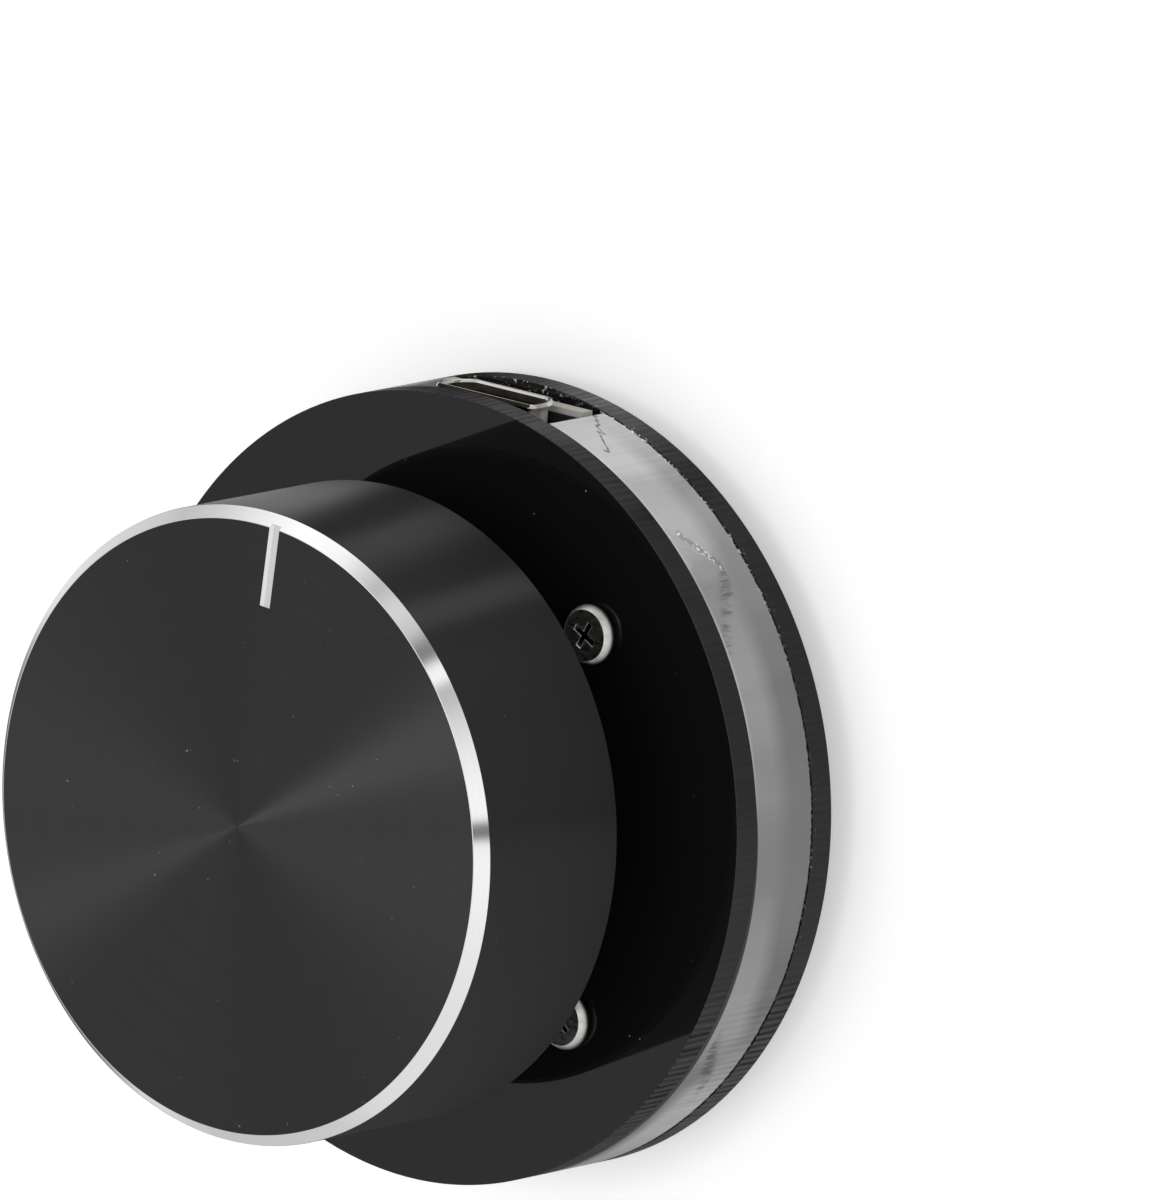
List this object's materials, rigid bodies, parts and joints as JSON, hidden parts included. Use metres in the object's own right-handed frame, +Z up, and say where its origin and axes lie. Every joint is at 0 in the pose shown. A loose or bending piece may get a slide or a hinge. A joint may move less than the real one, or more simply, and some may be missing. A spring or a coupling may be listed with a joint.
{
  "type": "usb volume control knob",
  "caption": "Desk volume dial: a black anodised aluminium knob that turns and presses, on an encoder in a stack of two black acrylic discs and a clear spacer with a USB socket.",
  "frame": {"origin": "centre of the flat under the feet, on the dial's axis", "axes": "+Z up along the dial's axis, +Y towards the USB socket, +X to the right seen from the front"},
  "size_m": [0.05, 0.05, 0.0299],
  "materials": {
    "black_acrylic": "cast black acrylic, polished faces, laser-cut edge",
    "clear_acrylic": "cast clear acrylic with a hazy laser-cut edge",
    "foot_rubber": "matte moulded rubber",
    "screw_steel": "nickel-plated steel",
    "foam_tape": "white foam mounting tape",
    "board": "glass-fibre board with solder mask, pale cut edge",
    "socket_steel": "stamped nickel-plated steel",
    "black_moulding": "moulded thermoplastic",
    "contact_gold": "gold-flashed copper alloy",
    "tin": "tinned leads",
    "led_case": "white moulded lamp case",
    "led_filling": "clear silicone filling",
    "ceramic": "capacitor ceramic",
    "resistor_film": "resistor with black film",
    "encoder_case": "brown phenolic moulding",
    "encoder_steel": "zinc-plated steel strap",
    "bushing_metal": "die-cast zinc alloy with a cut thread",
    "spring_metal": "spring bronze",
    "shaft_metal": "turned aluminium",
    "knob_aluminium": "black anodised turned aluminium, bright cut chamfer and mark",
    "black_steel": "blackened steel"
  },
  "bodies": {
    "base": {"base_plate": "black_acrylic", "spacer_ring": "clear_acrylic", "top_plate": "black_acrylic", "rubber_feet": "foot_rubber", "plate_screws": "screw_steel", "plate_nuts": "screw_steel", "tape_strips": "foam_tape", "circuit_board": "board", "usb_shell": "socket_steel", "usb_insulator": "black_moulding", "usb_contacts": "contact_gold", "controller_chip": "black_moulding", "chip_legs": "tin", "led_cases": "led_case", "led_lenses": "led_filling", "clock_crystal": "tin", "capacitors": "ceramic", "resistors": "resistor_film", "switch_case": "encoder_case", "switch_dome": "spring_metal", "wiper_fingers": "spring_metal", "encoder_housing": "encoder_case", "detent_spring": "spring_metal", "encoder_cover": "encoder_steel", "encoder_bushing": "bushing_metal", "encoder_pins": "tin"},
    "rotor": {"encoder_rotor": "black_moulding"},
    "knob": {"knob_shaft": "shaft_metal", "shaft_clip": "spring_metal", "knob_body": "knob_aluminium", "set_screw": "black_steel"}
  },
  "joints": [
    {"name": "knob_spin", "type": "hinge", "parent": "base", "child": "rotor", "pos_m": [0, 0, 0.009], "axis": [0, 0, 1], "continuous": true},
    {"name": "knob_press", "type": "slide", "parent": "rotor", "child": "knob", "axis": [0, 0, -1], "range_m": [0, 0.0005], "stiffness_N_per_m": 4000, "springref_m": -0.0005, "deforming": ["switch_dome"]}
  ]
}
